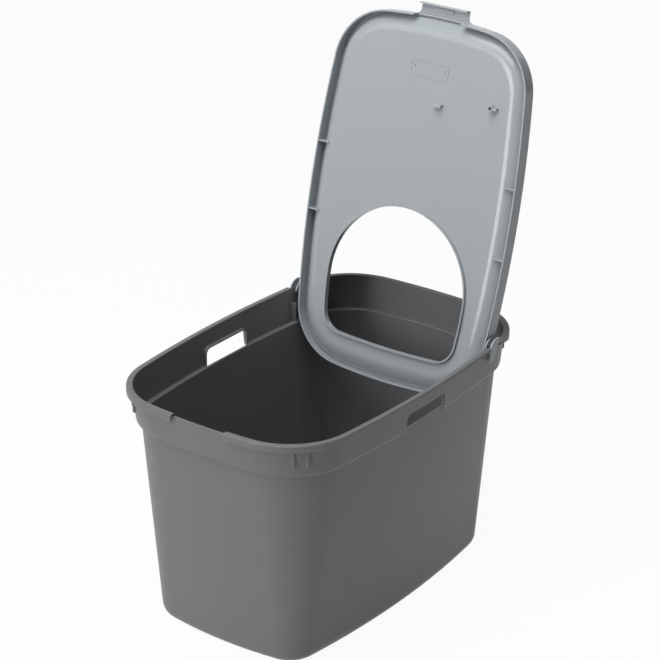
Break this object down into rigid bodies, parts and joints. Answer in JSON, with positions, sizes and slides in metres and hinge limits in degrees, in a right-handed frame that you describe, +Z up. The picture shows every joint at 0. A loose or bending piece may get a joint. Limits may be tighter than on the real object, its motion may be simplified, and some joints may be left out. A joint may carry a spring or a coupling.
{
  "type": "top-entry cat litter box",
  "caption": "Deep tapering tub with a rounded rim and hand slots, and a sunk lid with an arched entry hole that tips up and back on two side pivots, held shut by a front tab.",
  "frame": {"origin": "the middle of the tub's flat underside, on the floor", "axes": "+X across the tub, +Y along it towards the hinge end (the latch end is -Y), +Z up"},
  "size_m": [0.3898, 0.5894, 0.8167],
  "materials": {
    "tub_plastic": "fine satin",
    "lid_plastic": "fine satin with a faint metallic flow"
  },
  "bodies": {
    "tub_body": {"tub": "tub_plastic"},
    "lid_body": {"lid": "lid_plastic", "hinge_pivot_left": "lid_plastic", "hinge_pivot_right": "lid_plastic"}
  },
  "joints": [
    {"name": "lid_hinge", "type": "hinge", "parent": "tub_body", "child": "lid_body", "pos_m": [0, 0.1788, 0.3604], "axis": [1, 0, 0], "range_deg": [0, 104.2]}
  ]
}
